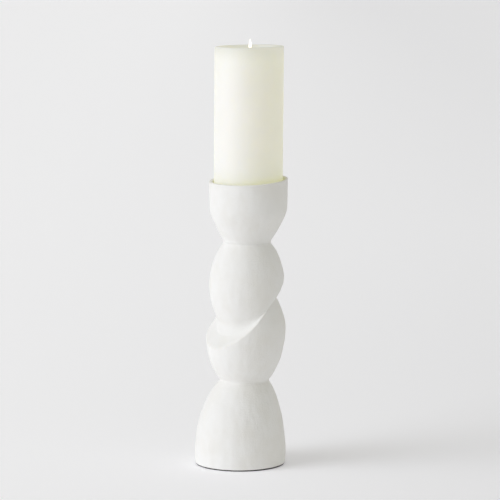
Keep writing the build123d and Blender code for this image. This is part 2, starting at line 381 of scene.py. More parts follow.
def bulb_rings(egg, other, neck, side):
    """Rings of a bulb from its neck to the slanting cut and across the cut to the dowel hole.
    Side is +1 for the bulb below the cut and -1 for the bulb above it. Where the other bulb
    stands out further, this one flares onto it in a filled crease. Where this one stands out,
    its edge is rounded. Where the two skins cross, both changes fade to almost nothing."""
    cut = waist_meeting(egg)
    edge = egg.surface(cut)
    if side > 0:
        edge = edge + outward * shoulder_push(edge)[:, None]
    neck_middle = egg.middle(neck)
    axis = np.array([*egg.middle(float(np.mean(cut))), 0.0])

    clear = standing_clear(edge, axis, other)
    apart = smooth_step(np.abs(clear) / CROSSING_WIDTH)
    full_softness = np.where(clear > 0, CREASE_FILL + CREASE_FILL_SHARE * clear,
                             ARRIS_SOFTNESS - ARRIS_SOFTNESS_SHARE * clear)
    softness = CROSSING_SOFTNESS + apart * (full_softness - CROSSING_SOFTNESS)
    flare = 2 * smooth_step(0.5 + 2 * clear / CROSSING_WIDTH) - 1
    crossing_fill = CROSSING_FILL * (1 - apart)

    run = np.abs(cut - neck)
    slope = egg.slope_at(neck)
    fill_depth = UPPER_NECK_FILL if neck == UPPER_NECK else LOWER_NECK_FILL
    rows = int(np.max(run) / BODY_STEP)
    near_neck = np.array(NECK_STEPS) * MM / np.mean(run)
    shares = np.unique(np.concatenate([np.arange(rows + 1) / rows, near_neck]))
    side_rings = []
    for share in shares:
        from_neck = (run - softness) * share
        points = egg.surface(neck + side * from_neck)
        nearness = np.clip(1 - (run - from_neck) / CROSSING_FILL_REACH, 0, 1)
        fill = neck_fill(from_neck, slope, fill_depth) + crossing_fill * nearness ** 2
        if side > 0:
            fill = fill + shoulder_push(points)
        side_rings.append(dented(points + outward * fill[:, None], neck_middle))

    side_end = side_rings[-1]
    corner = dented(edge + outward * crossing_fill[:, None], neck_middle)
    corner[:, 2] = waist_height(corner)
    inward = axis - corner
    inward[:, 2] = 0.0
    inward = inward / np.linalg.norm(inward, axis=1, keepdims=True)
    sink = side * CREASE_SINK * np.maximum(flare, 0)
    face_start = corner - inward * (flare * softness)[:, None]
    face_start[:, 2] = waist_height(face_start) + sink
    flatness = (CREASE_FLATNESS * np.maximum(flare, 0))[:, None]
    corner = corner * (1 - flatness) + (side_end + face_start) / 2 * flatness
    edge_rings = [bezier(side_end, corner, face_start, share) for share, strength in ARRIS_RINGS]
    # Below 0 in a crease is painted shade; above 0 at an arris is rubbed paint.
    edge_wear_and_crease_shade = [-flare * strength for share, strength in ARRIS_RINGS]

    face_rings, roll = cut_face_rings(face_start, sink)
    hole_rings = [np.roll(points, roll, axis=0) for points in waist_hole(-side)]
    before_edge = neck_hole(neck_middle, neck, side)[::-1] + side_rings
    after_edge = face_rings + hole_rings
    wear_and_crease_shade = [0.0] * len(before_edge) + edge_wear_and_crease_shade + [0.0] * len(after_edge)
    return before_edge + edge_rings + after_edge, wear_and_crease_shade


def make_lower_bulb():
    rings, wear_and_crease_shade = bulb_rings(LOWER_EGG, UPPER_EGG, LOWER_NECK, 1)
    return mesh_from_rings("lower_bulb_carved", rings, wear_and_crease_shade)


def make_upper_bulb():
    rings, wear_and_crease_shade = bulb_rings(UPPER_EGG, LOWER_EGG, UPPER_NECK, -1)
    return mesh_from_rings("upper_bulb_carved", rings, wear_and_crease_shade)


# ---- The foot's skin ----

FOOT_BOTTOM_ROUND = 1.2 * MM
FOOT_PLAIN_TOP = LOWER_NECK - 2.2 * MM
FOOT_TOP_STEPS = (1.7, 1.2, 0.75, 0.5, 0.25, 0.0)


def foot_reach(height):
    """Radius of the foot at this height, which is part of an egg with its widest part low."""
    half_height = (LOWER_NECK - FOOT_WIDEST) / math.sqrt(1 - (LOWER_NECK_RADIUS / FOOT_RADIUS) ** 2)
    return FOOT_RADIUS * math.sqrt(1 - ((height - FOOT_WIDEST) / half_height) ** 2)


def felt_shade_lift(points):
    """The felt is a little thicker to the right, and the foot's underside rises with it: a wider dark
    edge there, as painted contact shadow.
    """
    return FELT_SHADE_LIFT * np.clip(points[:, 0] / FOOT_RADIUS, 0, 1)


def make_foot():
    """The domed foot, which drifts towards the lower bulb's middle as it rises."""
    neck_middle = LOWER_EGG.middle(LOWER_NECK)
    slope = (foot_reach(LOWER_NECK) - foot_reach(LOWER_NECK - MM)) / MM
    rows = int((LOWER_NECK - FOOT_BOTTOM) / BODY_STEP)
    heights = list(np.linspace(FOOT_BOTTOM + FOOT_BOTTOM_ROUND, FOOT_PLAIN_TOP, rows))
    heights += [LOWER_NECK - step * MM for step in FOOT_TOP_STEPS]
    side = []
    for height in heights:
        drift = (height / LOWER_NECK) ** FOOT_DRIFT_POWER
        middle = (drift * neck_middle[0], drift * neck_middle[1])
        reach = foot_reach(height) + neck_fill(LOWER_NECK - height, slope, LOWER_NECK_FILL)
        side.append(dented(ring(middle, reach, height), middle))
    corner = side[0].copy()
    # The underside rises to the right with the felt, so that the felt's dark edge shows wider there:
    # painted shade for the contact shadow.
    corner[:, 2] = FOOT_BOTTOM + felt_shade_lift(corner)
    inner = corner - outward * FOOT_BOTTOM_ROUND
    bottom = [bezier(inner, corner, side[0], share) for share in (0.0, 0.25, 0.5, 0.75)]
    bottom_wear = [0.6, 1.0, 1.0, 0.6]
    under = [ring((0, 0), foot_reach(FOOT_BOTTOM) * share, FOOT_BOTTOM) for share in (0.3, 0.8)]
    # The underside rises with the thicker felt: part of the painted contact shadow.
    for points in under:
        points[:, 2] += felt_shade_lift(points)
    top = neck_hole(neck_middle, LOWER_NECK, -1)
    rings = under + bottom + side + top
    wear_and_crease_shade = [0.0] * len(under) + bottom_wear + [0.0] * (len(side) + len(top))
    return mesh_from_rings("foot_carved", rings, wear_and_crease_shade)


# ---- The cup's skin ----

RECESS_MIDDLE = (RIM_CENTRE[0], RIM_CENTRE[1])
RECESS_UNEVENNESS = 0.5
RECESS_CORNER = 0.8 * MM
RIM_OUTER_ROUND = 0.9 * MM
RIM_INNER_ROUND = 1.0 * MM
RIM_SLANT_FOOT = CUP_WALL_FOOT + 4 * MM
THICK_WALL_FADE = 3.0 * MM
BELLY_SHIFT_POWER = 0.75


def turned(direction, angle):
    """A flat direction turned anticlockwise by an angle."""
    return np.array([direction[0] * math.cos(angle) - direction[1] * math.sin(angle),
                     direction[0] * math.sin(angle) + direction[1] * math.cos(angle)])


def arc_through(start, end, tangent, count):
    """Points of the arc that leaves start along tangent and ends at end, and the tangent there."""
    start = np.array(start)
    end = np.array(end)
    tangent = np.array(tangent) / np.linalg.norm(tangent)
    chord = end - start
    half_turn = math.atan2(tangent[0] * chord[1] - tangent[1] * chord[0], np.dot(tangent, chord))
    points = []
    length = np.linalg.norm(chord)
    for share in np.linspace(0, 1, count):
        turn = half_turn * share
        span = length * math.sin(turn) / math.sin(half_turn)
        points.append(start + turned(tangent, turn) * span)
    return points, turned(tangent, 2 * half_turn)


def cup_outline():
    """Radius and height pairs from the rim down to the neck, and the last tangent."""
    wall_top = np.array([CUP_RIM_RADIUS, RIM_CENTRE[2]])
    wall_foot = np.array([CUP_WALL_FOOT_RADIUS, CUP_WALL_FOOT])
    wall = [wall_top + (wall_foot - wall_top) * share for share in np.linspace(0, 1, 18)]
    shoulder, tangent = arc_through(wall_foot, (CUP_SHOULDER_RADIUS, CUP_SHOULDER),
                                    wall_foot - wall_top, 11)
    belly, tangent = arc_through((CUP_SHOULDER_RADIUS, CUP_SHOULDER),
                                 (UPPER_NECK_RADIUS, UPPER_NECK), tangent, 24)
    return wall + shoulder[1:] + belly[1:], tangent


def thick_wall(points):
    """The cup's wall is thicker at the left near its rim, above the drip pan."""
    above_pan = smooth_step((points[:, 2] - THICK_WALL_FOOT) / THICK_WALL_FADE)
    extra = RIM_THICKENING * above_pan * np.maximum(-outward[:, 0], 0) ** 2
    return points - outward * extra[:, None]


def cup_outside():
    """Rings of the cup's outside, from just under its slanted rim down to the neck."""
    outline, tangent = cup_outline()
    slope = abs(tangent[0] / tangent[1])
    tilt = math.tan(CUP_LEAN)
    rings = []
    for radius, height in outline:
        rise = height - UPPER_NECK
        share = rise / (RIM_CENTRE[2] - UPPER_NECK)
        belly_shift = CUP_BELLY_SHIFT * math.sin(math.pi * share ** BELLY_SHIFT_POWER)
        middle = (CUP_AXIS_FOOT[0] + tilt * rise + belly_shift, CUP_AXIS_FOOT[1])
        reach = radius + neck_fill(rise, slope, UPPER_NECK_FILL)
        points = dented(ring(middle, reach, height), middle)
        lift = np.clip((height - RIM_SLANT_FOOT) / (RIM_CENTRE[2] - RIM_SLANT_FOOT), 0, 1)
        points[:, 2] += lift * (rim_height(points) - RIM_CENTRE[2] - RIM_OUTER_ROUND)
        rings.append(points)
    return rings


def recess_wall():
    """A ring with the recess's uneven outline, at no height yet."""
    return dented(ring(RECESS_MIDDLE, RECESS_RADIUS, 0.0), RECESS_MIDDLE, RECESS_UNEVENNESS)


def recess_rings(inner_side):
    """Rings down the wall of the recess and across its floor. The skin is closed in
    the floor's middle."""
    wall_foot = RECESS_FLOOR + RECESS_CORNER
    rings = []
    for share in np.linspace(0, 1, 9)[1:-1]:
        points = recess_wall()
        points[:, 2] = inner_side[:, 2] * (1 - share) + wall_foot * share
        rings.append(thick_wall(points))
    wall_end = rings[-1]
    corner = ring(RECESS_MIDDLE, RECESS_RADIUS, RECESS_FLOOR)
    floor_start = ring(RECESS_MIDDLE, RECESS_RADIUS - RECESS_CORNER, RECESS_FLOOR)
    rings += [bezier(wall_end, corner, floor_start, share) for share in (0.33, 0.66, 1.0)]
    rings += [ring(RECESS_MIDDLE, RECESS_RADIUS * share, RECESS_FLOOR) for share in (0.8, 0.5, 0.2)]
    return rings


def make_cup():
    """The cup: its outside, its rounded rim, and the recess for the pan and the candle."""
    outside = cup_outside()
    outer_corner = outside[0].copy()
    outer_corner[:, 2] = rim_height(outer_corner)
    inner_corner = recess_wall()
    inner_corner[:, 2] = rim_height(inner_corner)
    inner_corner = thick_wall(inner_corner)
    across = (outer_corner + inner_corner) / 2
    across[:, 2] = rim_height(across)
    inner_side = inner_corner.copy()
    inner_side[:, 2] -= RIM_INNER_ROUND
    quarters = (0.25, 0.5, 0.75, 1.0)
    rim = [bezier(outside[0], outer_corner, across, share) for share in quarters]
    rim += [bezier(across, inner_corner, inner_side, share) for share in quarters]
    rim_wear = [1.0, 1.0, 1.0, 1.0, 1.0, 0.8, 0.5, 0.2]
    recess = recess_rings(inner_side)
    before_rim = neck_hole(CUP_AXIS_FOOT, UPPER_NECK, 1)[::-1] + outside[::-1]
    wear_and_crease_shade = [0.0] * len(before_rim) + rim_wear + [0.0] * len(recess)
    return mesh_from_rings("cup_carved", before_rim + rim + recess, wear_and_crease_shade)


# ---- Felt pad under the foot ----

def make_felt_pad():
    """A round of felt with a soft, slightly uneven edge that bulges a little."""
    low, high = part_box("base_pad")
    radius = (high.x - low.x) / 2
    top = high.z + FELT_SPRING
    soft_edge = 0.35 * MM
    bulge = 0.1 * MM
    wobble = 0.12 * MM * smooth_noise(outward * radius, 5 * MM, FELT_SEED)
    underside = [(radius * 0.4, low.z), (radius * 0.9, low.z), (radius - soft_edge, low.z)]
    edge = [(radius, low.z + soft_edge), (radius + bulge, (low.z + top) / 2),
            (radius, top - soft_edge)]
    topside = [(r, top) for r, z in reversed(underside)]
    rings = [ring((0, 0), r + wobble * (r > radius * 0.95), z) for r, z in underside + edge + topside]
    # The felt's top rises to the right: a dark band that stands in for the contact shadow there.
    for points in rings[-4:]:
        points[:, 2] += felt_shade_lift(points)
    return mesh_from_rings("felt_pad", rings)


# ---- Drip pan: a dish pressed from thin steel, with a raised rib and a rolled lip ----

def make_drip_pan():
    """The pan's skin: its underside and outer wall, the rolled lip, the inner wall and its floor."""
    low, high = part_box("drip_pan")
    centre = ((low.x + high.x) / 2, (low.y + high.y) / 2)
    radius = (high.x - low.x) / 2
    sheet = 0.6 * MM
    corner = 1.6 * MM
    inner_corner = corner - sheet
    rib_radius = 0.62 * radius
    rib_height = 0.18 * MM
    rib_width = 2.2 * MM
    wall_top = high.z - 0.5 * MM
    lip_inset = 0.08 * MM
    lip_shoulder = high.z - 0.15 * MM
    turn_out = np.linspace(0, math.pi / 2, 7)
    floor_radii = np.linspace(4 * MM, radius - corner, 34)

    def rib(r):
        return rib_height * math.exp(-((r - rib_radius) / rib_width) ** 2)

    def corner_point(size, angle):
        return radius - corner + size * math.sin(angle), low.z + corner - size * math.cos(angle)

    outer = [(r, low.z) for r in floor_radii]
    outer += [corner_point(corner, angle) for angle in turn_out[1:]]
    outer += [(radius, wall_top)]
    lip = [(radius - lip_inset, lip_shoulder), (radius - sheet / 2, high.z),
           (radius - sheet + lip_inset, lip_shoulder)]
    inner = [(radius - sheet, wall_top)]
    inner += [corner_point(inner_corner, angle) for angle in reversed(turn_out)]
    inner += [(r, low.z + sheet + rib(r)) for r in reversed(floor_radii[:-1])]
    rings = [ring(centre, r, z) for r, z in outer + lip + inner]
    return mesh_from_rings("drip_pan_pressed", rings)


# ---- Candle ----

CANDLE_LOW, CANDLE_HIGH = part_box("candle")
CANDLE_RADIUS = (CANDLE_HIGH.x - CANDLE_LOW.x) / 2
CANDLE_MIDDLE = ((CANDLE_LOW.x + CANDLE_HIGH.x) / 2, (CANDLE_LOW.y + CANDLE_HIGH.y) / 2)
CANDLE_LEAN = 0.008
CANDLE_TOP_TILT = 0.5 * MM
CANDLE_FOOT_ROUND = 1.2 * MM
CANDLE_TOP_ROUND = 1.8 * MM
CANDLE_SLUMP = 0.5 * MM
WAX_RIPPLE_DEPTH = 0.16 * MM
WAX_RIPPLE_SIZE = 14.0 * MM
WAX_RIPPLE_STRETCH = 0.35
WAX_RIM_WAVE_DEPTH = 0.2 * MM
WAX_RIM_WAVE_SIZE = 20.0 * MM
WAX_RIM_HEIGHT = 4.0 * MM
WELL_RADIUS = 32.0 * MM
WELL_DEPTH = 9.0 * MM
WELL_FLOOR = CANDLE_TOP - WELL_DEPTH
POOL_LEVEL = WELL_FLOOR + 2.2 * MM
WICK_RADIUS = 1.15 * MM
WICK_BEND_START = WELL_FLOOR + 3.0 * MM
WICK_BEND_RADIUS = 7.0 * MM
WICK_BEND_ANGLE = math.radians(38.0)
WICK_ANGLE_STEP = 8
FLAME_FOOT = CANDLE_TOP - 7.0 * MM
FLAME_TIP = CANDLE_TOP + 9.0 * MM
FLAME_ANGLE_STEP = 6


def lean_candle(points):
    """The wax isn't quite square to its foot: it leans a little to the right."""
    points[:, 0] += CANDLE_LEAN * (points[:, 2] - (CANDLE_FOOT + CANDLE_TOP) / 2)
    return points


def well_height(radius):
    """Height of the bowl burnt into the wax, at this distance from the wick."""
    share = min(radius / WELL_RADIUS, 1.0)
    return CANDLE_TOP - WELL_DEPTH * math.sqrt(1 - share ** 2)


def candle_outline():
    """Radius and height pairs: underside, rounded foot, wall, rounded lip, and down the well."""
    lip_end = CANDLE_RADIUS - CANDLE_TOP_ROUND
    foot_end = CANDLE_RADIUS - CANDLE_FOOT_ROUND
    wall_foot = CANDLE_FOOT + CANDLE_FOOT_ROUND
    wall_top = CANDLE_TOP - CANDLE_TOP_ROUND
    outline = [(CANDLE_RADIUS * share, CANDLE_FOOT) for share in (0.4, 0.8)]
    outline += [(foot_end + CANDLE_FOOT_ROUND * math.sin(t), wall_foot - CANDLE_FOOT_ROUND * math.cos(t))
                for t in np.linspace(0, math.pi / 2, 6)]
    outline += [(CANDLE_RADIUS, z) for z in np.linspace(wall_foot, wall_top, 80)[1:]]
    outline += [(lip_end + CANDLE_TOP_ROUND * math.cos(t), wall_top + CANDLE_TOP_ROUND * math.sin(t))
                for t in np.linspace(0, math.pi / 2, 9)[1:]]
    for r in np.linspace(lip_end, WELL_RADIUS, 6)[1:]:
        share = (lip_end - r) / (lip_end - WELL_RADIUS)
        outline.append((r, CANDLE_TOP - CANDLE_SLUMP * share ** 2))
    for r in WELL_RADIUS * np.cos(np.linspace(0, math.pi / 2, 28))[1:-1]:
        outline.append((r, min(well_height(r), CANDLE_TOP - CANDLE_SLUMP)))
    outline.append((WICK_RADIUS * 1.3, WELL_FLOOR))
    return outline


def make_candle():
    """The pillar of wax, with faint upright ripples and an uneven lip round its well."""
    ripple_stretch = np.array([1, 1, WAX_RIPPLE_STRETCH])
    well_wall = 0.8 * CANDLE_RADIUS
    rings = []
    for r, z in candle_outline():
        points = ring(CANDLE_MIDDLE, r, z)
        near_wall = smooth_step((r - well_wall) / (CANDLE_RADIUS - well_wall))
        ripple = smooth_noise(points * ripple_stretch, WAX_RIPPLE_SIZE, WAX_WALL_SEED) * near_wall
        points = points + outward * (WAX_RIPPLE_DEPTH * ripple)[:, None]
        if z > CANDLE_TOP - WAX_RIM_HEIGHT and r > well_wall:
            wave = smooth_noise(outward * CANDLE_RADIUS, WAX_RIM_WAVE_SIZE, WAX_RIM_SEED)
            points[:, 2] += WAX_RIM_WAVE_DEPTH * wave + CANDLE_TOP_TILT * outward[:, 0]
        rings.append(lean_candle(points))
    return mesh_from_rings("candle_wax", rings)


def make_melted_wax():
    """The clear pool round the wick, which climbs a little where it meets the bowl."""
    share = 1 - (CANDLE_TOP - POOL_LEVEL) / WELL_DEPTH
    shore = WELL_RADIUS * math.sqrt(1 - (1 - share) ** 2)
    climb_start = shore - 1.2 * MM
    under_start = shore - 1 * MM
    sink = 0.2 * MM
    outline = [(r, POOL_LEVEL) for r in np.linspace(WICK_RADIUS * 1.1, climb_start, 16)]
    outline += [(shore - 0.6 * MM, POOL_LEVEL + 0.1 * MM),
                (shore + 0.3 * MM, POOL_LEVEL + 0.45 * MM),
                (shore + 0.2 * MM, POOL_LEVEL + 0.1 * MM)]
    outline += [(r, well_height(r) - sink) for r in np.linspace(under_start, WICK_RADIUS, 14)]
    shore_shape = 0.5 * MM * smooth_noise(outward * shore, 12 * MM, WAX_SHORE_SEED)
    rings = [lean_candle(ring(CANDLE_MIDDLE, r + shore_shape * (r / shore) ** 2, z))
             for r, z in outline]
    return mesh_from_rings("melted_wax", rings)


def wick_point(along):
    """Centre and direction of the wick at a distance along it from the candle's foot."""
    straight = WICK_BEND_START - CANDLE_FOOT
    if along <= straight:
        return Vector((CANDLE_MIDDLE[0], CANDLE_MIDDLE[1], CANDLE_FOOT + along)), Vector((0, 0, 1))
    turn = min((along - straight) / WICK_BEND_RADIUS, WICK_BEND_ANGLE)
    side = WICK_BEND_RADIUS * (1 - math.cos(turn))
    rise = WICK_BEND_RADIUS * math.sin(turn)
    centre = Vector((CANDLE_MIDDLE[0] + side, CANDLE_MIDDLE[1], WICK_BEND_START + rise))
    return centre, Vector((math.sin(turn), 0, math.cos(turn)))


def make_wick():
    """Three strands twisted round each other, thinner and ragged at the burnt tip."""
    length = WICK_BEND_START - CANDLE_FOOT + WICK_BEND_RADIUS * WICK_BEND_ANGLE
    strands = 3
    twist_pitch = 5.0 * MM
    burnt_length = 2.5 * MM
    strand_core = 0.84
    strand_swell = 0.13
    thinning = 0.45
    ragged_depth = 0.32 * MM
    ragged_size = 0.5 * MM
    fine_start = length - 16 * MM
    hidden_steps = list(np.linspace(0.3 * MM, fine_start, 24))
    fine_steps = list(np.linspace(fine_start, length, 64)[1:])
    rings = []
    for along in hidden_steps + fine_steps:
        centre, direction = wick_point(along)
        across = Vector((direction.z, 0, -direction.x))
        deep = direction.cross(across)
        burnt = max(0.0, 1 - (length - along) / burnt_length)
        points = []
        for angle in angles[::WICK_ANGLE_STEP]:
            strand = math.cos(strands * (angle - 2 * math.pi * along / twist_pitch))
            thickness = (strand_core + strand_swell * strand) * (1 - thinning * burnt ** 2)
            radius = float(WICK_RADIUS * thickness)
            spot = centre + radius * (math.cos(angle) * across + math.sin(angle) * deep)
            ragged = ragged_depth * burnt * noise.noise(spot / ragged_size)
            points.append(tuple(spot + direction * ragged))
        rings.append(lean_candle(np.array(points)))
    return mesh_from_rings("wick_braided", rings)


def make_flame():
    """A small pointed flame that stands on the bent end of the wick."""
    widest = 1.75 * MM
    centre_x = CANDLE_MIDDLE[0] + 1.3 * MM
    sway_width = 0.25 * MM
    sway_turn = 2.4
    belly_power = 0.62
    belly_roundness = 0.85
    tip_taper = 0.25
    rings = []
    for share in np.linspace(0.015, 0.995, 44):
        height = FLAME_FOOT + (FLAME_TIP - FLAME_FOOT) * share
        belly = math.sin(math.pi * share ** belly_power) ** belly_roundness
        radius = widest * belly * (1 - tip_taper * share)
        sway = sway_width * math.sin(sway_turn * share)
        points = ring((centre_x + sway, CANDLE_MIDDLE[1]), radius, height)
        rings.append(points[::FLAME_ANGLE_STEP])
    return mesh_from_rings("flame", rings)


# ---- Materials: tools ----

class Shader:
    """A short way to write a material's nodes. Sizes are in metres, in the object's own space."""

    def __init__(self, name):
        self.material = bpy.data.materials.new(name)
        self.material.use_nodes = True
        self.tree = self.material.node_tree
        self.surface = self.tree.nodes["Principled BSDF"]
        self.place = self.node("TexCoord").outputs["Object"]

    def node(self, kind, **values):
        """A new node, with plain values for its inputs. Their names have _ for a space."""
        node = self.tree.nodes.new("ShaderNode" + kind)
        for name, value in values.items():
            node.inputs[name.replace("_", " ")].default_value = value
        return node

    def link(self, output, socket):
        self.tree.links.new(output, socket)

    def set(self, name, value):
        """Gives one of the surface's inputs a plain value."""
        self.surface.inputs[name].default_value = value

    def stretch(self, x, y, z):
        """Space for a texture that is drawn out along the axes whose factor is below 1."""
        mapping = self.node("Mapping", Scale=(x, y, z))
        self.link(self.place, mapping.inputs["Vector"])
        return mapping.outputs["Vector"]

    def noise(self, size, detail=3.0, roughness=0.55, space=None, distortion=0.0):
        """Cloudy noise from 0 to 1 with lumps of about the given size."""
        texture = self.node("TexNoise", Scale=1 / size, Detail=detail, Roughness=roughness,
                            Distortion=distortion)
        self.link(space or self.place, texture.inputs["Vector"])
        return texture.outputs["Fac"]

    def cells(self, size, space=None):
        """Distance from the nearest of the points scattered about one size apart."""
        texture = self.node("TexVoronoi", Scale=1 / size)
        self.link(space or self.place, texture.inputs["Vector"])
        return texture.outputs["Distance"]

    def ramp(self, value, low, high, from_value=0.0, to_value=1.0):
        """Goes smoothly from one value to the other while the input goes from low to high."""
        node = self.node("MapRange", From_Min=low, From_Max=high, To_Min=from_value,
                         To_Max=to_value)
        node.interpolation_type = "SMOOTHSTEP"
        self.link(value, node.inputs["Value"])
        return node.outputs["Result"]

    def maths(self, operation, first, second):
        """Adds or multiplies two values, each a number or another node's output."""
        node = self.node("Math")
        node.operation = operation
        for socket, value in zip(node.inputs, (first, second)):
            if isinstance(value, (int, float)):
                socket.default_value = value
            else:
                self.link(value, socket)
        return node.outputs["Value"]

    def mix(self, factor, first, second):
        """Blends two colours, each a tuple or another node's output."""
        node = self.node("Mix")
        node.data_type = "RGBA"
        self.link(factor, node.inputs["Factor"])
        colour_inputs = [socket for socket in node.inputs if socket.type == "RGBA"]
        for socket, value in zip(colour_inputs, (first, second)):
            if isinstance(value, tuple):
                socket.default_value = (*value, 1.0)
            else:
                self.link(value, socket)
        return next(output for output in node.outputs if output.type == "RGBA")

    def attribute(self, name):
        node = self.node("Attribute")
        node.attribute_name = name
        return node.outputs["Fac"]

    def axis(self, name):
        """The X, Y or Z of each point."""
        node = self.node("SeparateXYZ")
        self.link(self.place, node.inputs["Vector"])
        return node.outputs[name]

    def bump(self, height, depth, under=None):
        node = self.node("Bump", Distance=depth)
        self.link(height, node.inputs["Height"])
        if under is not None:
            self.link(under, node.inputs["Normal"])
        return node.outputs["Normal"]

    def finish(self, colour, roughness, normal):
        self.link(colour, self.surface.inputs["Base Color"])
        self.link(roughness, self.surface.inputs["Roughness"])
        self.link(normal, self.surface.inputs["Normal"])
        return self.material


# ---- Materials: each of the object's own ----

def painted_wood():
    """Chalky off-white paint, brushed over carved wood whose grain still shows a little."""
    shader = Shader("painted_wood")
    paint = (0.872, 0.866, 0.842)
    thin_paint = (0.850, 0.838, 0.800)
    rubbed_paint = (0.862, 0.843, 0.798)
    # Greyer paint for the creases: painted shade that dims the light along each filled crease.
    crease_shade_paint = (0.848, 0.840, 0.812)
    blotches = shader.noise(26 * MM, detail=2.0)
    mottle = shader.noise(3.2 * MM, detail=4.0, roughness=0.6)
    grain_space = shader.stretch(1.0, 1.0, 0.07)
    grain = shader.noise(1.3 * MM, detail=5.0, roughness=0.65, space=grain_space, distortion=0.4)
    brush_space = shader.stretch(0.12, 0.12, 1.0)
    brush = shader.noise(1.1 * MM, detail=4.0, roughness=0.6, space=brush_space, distortion=0.6)
    chalk = shader.noise(0.55 * MM, detail=3.0, roughness=0.7)
    pits = shader.cells(4.5 * MM)
    colour = shader.mix(shader.ramp(blotches, 0.35, 0.75), paint, thin_paint)
    colour = shader.mix(shader.ramp(mottle, 0.52, 0.80, 0.0, 0.5), colour, thin_paint)
    colour = shader.mix(shader.ramp(grain, 0.62, 0.78, 0.0, 0.35), colour, thin_paint)
    wear_and_crease_shade = shader.attribute("edge_wear_and_crease_shade")
    rubbed = shader.maths("MULTIPLY", shader.ramp(wear_and_crease_shade, 0.0, 1.0), shader.ramp(mottle, 0.4, 0.62))
    colour = shader.mix(rubbed, colour, rubbed_paint)
    # Painted shade: the creases, where the value is below 0, get the greyer paint.
    colour = shader.mix(shader.ramp(wear_and_crease_shade, -1.0, 0.0, 1.0, 0.0), colour, crease_shade_paint)
    roughness = shader.ramp(mottle, 0.3, 0.75, 0.72, 0.90)
    normal = shader.bump(grain, 0.16 * MM)
    normal = shader.bump(brush, 0.12 * MM, normal)
    normal = shader.bump(mottle, 0.16 * MM, normal)
    normal = shader.bump(chalk, 0.035 * MM, normal)
    normal = shader.bump(shader.ramp(pits, 0.0, 0.16), 0.10 * MM, normal)
    shader.set("Specular IOR Level", 0.30)
    return shader.finish(colour, roughness, normal)


def candle_wax():
    """Ivory wax, cast and a little cloudy. Light sinks into it. It also has a painted glow, faint and
    warm, that stands in for the flame's light scattered in the wax and light sent up from the cup: least
    in the thin lip round the top and most just above the cup's rim and below it."""
    shader = Shader("candle_wax")
    # ivory and cloudy are darker and bluer than the wax looks, because the painted glow's yellow light
    # adds to them; lip is the wax's colour at the top, where the painted glow fades out.
    ivory = (0.630, 0.621, 0.746)
    cloudy = (0.640, 0.631, 0.758)
    lip = (0.800, 0.782, 0.690)
    painted_glow_colour = (0.246, 0.248, 0.070, 1.0)
    glow_start = CANDLE_TOP - 18 * MM
    glow_end = CANDLE_TOP + 10 * MM
    rim_foot = RIM_CENTRE[2] - 2 * MM
    rim_glow_end = RIM_CENTRE[2] + 10 * MM
    rim_glow_strength = 0.13
    clouds = shader.noise(30 * MM, detail=2.0)
    bloom = shader.noise(2.6 * MM, detail=5.0, roughness=0.65)
    fine = shader.noise(0.7 * MM, detail=3.0)
    casting_space = shader.stretch(1.0, 1.0, 0.05)
    casting = shader.noise(2.0 * MM, detail=3.0, roughness=0.5, space=casting_space)
    colour = shader.mix(shader.ramp(clouds, 0.35, 0.70), ivory, cloudy)
    colour = shader.mix(shader.ramp(bloom, 0.55, 0.80, 0.0, 0.4), colour, cloudy)
    height = shader.axis("Z")
    # Painted light: the glow is full low down and fades to nothing at the top, and the rim glow adds a
    # little round the cup's rim.
    painted_glow = shader.ramp(height, glow_start, glow_end, 1.0, 0.0)
    colour = shader.mix(painted_glow, lip, colour)
    painted_rim_glow = shader.ramp(height, rim_foot, rim_glow_end, rim_glow_strength, 0.0)
    roughness = shader.ramp(bloom, 0.3, 0.7, 0.42, 0.58)
    normal = shader.bump(casting, 0.06 * MM)
    normal = shader.bump(bloom, 0.07 * MM, normal)
    normal = shader.bump(fine, 0.02 * MM, normal)
    shader.set("Subsurface Weight", 0.6)
    shader.set("Subsurface Radius", (1.0, 0.85, 0.60))
    shader.set("Subsurface Scale", 90 * MM)
    # The painted glow is emission in the wax: light painted in, not a lamp.
    shader.set("Emission Color", painted_glow_colour)
    emission = shader.maths("ADD", painted_glow, painted_rim_glow)
    shader.link(emission, shader.surface.inputs["Emission Strength"])
    shader.set("Specular IOR Level", 0.60)
    return shader.finish(colour, roughness, normal)


def melted_wax():
    """Clear melted wax: wet, deeper in colour, with a skin of tiny ripples."""
    shader = Shader("melted_wax")
    depth = shader.noise(9 * MM, detail=2.0)
    ripples = shader.noise(5 * MM, detail=2.0)
    deep_wax = (0.840, 0.790, 0.560)
    shallow_wax = (0.870, 0.830, 0.620)
    colour = shader.mix(shader.ramp(depth, 0.3, 0.7), deep_wax, shallow_wax)
    roughness = shader.ramp(depth, 0.3, 0.7, 0.05, 0.10)
    shader.set("Subsurface Weight", 0.6)
    shader.set("Subsurface Radius", (1.0, 0.7, 0.35))
    shader.set("Subsurface Scale", 6 * MM)
    shader.set("Coat Weight", 0.5)
    shader.set("Coat Roughness", 0.03)
    return shader.finish(colour, roughness, shader.bump(ripples, 0.05 * MM))


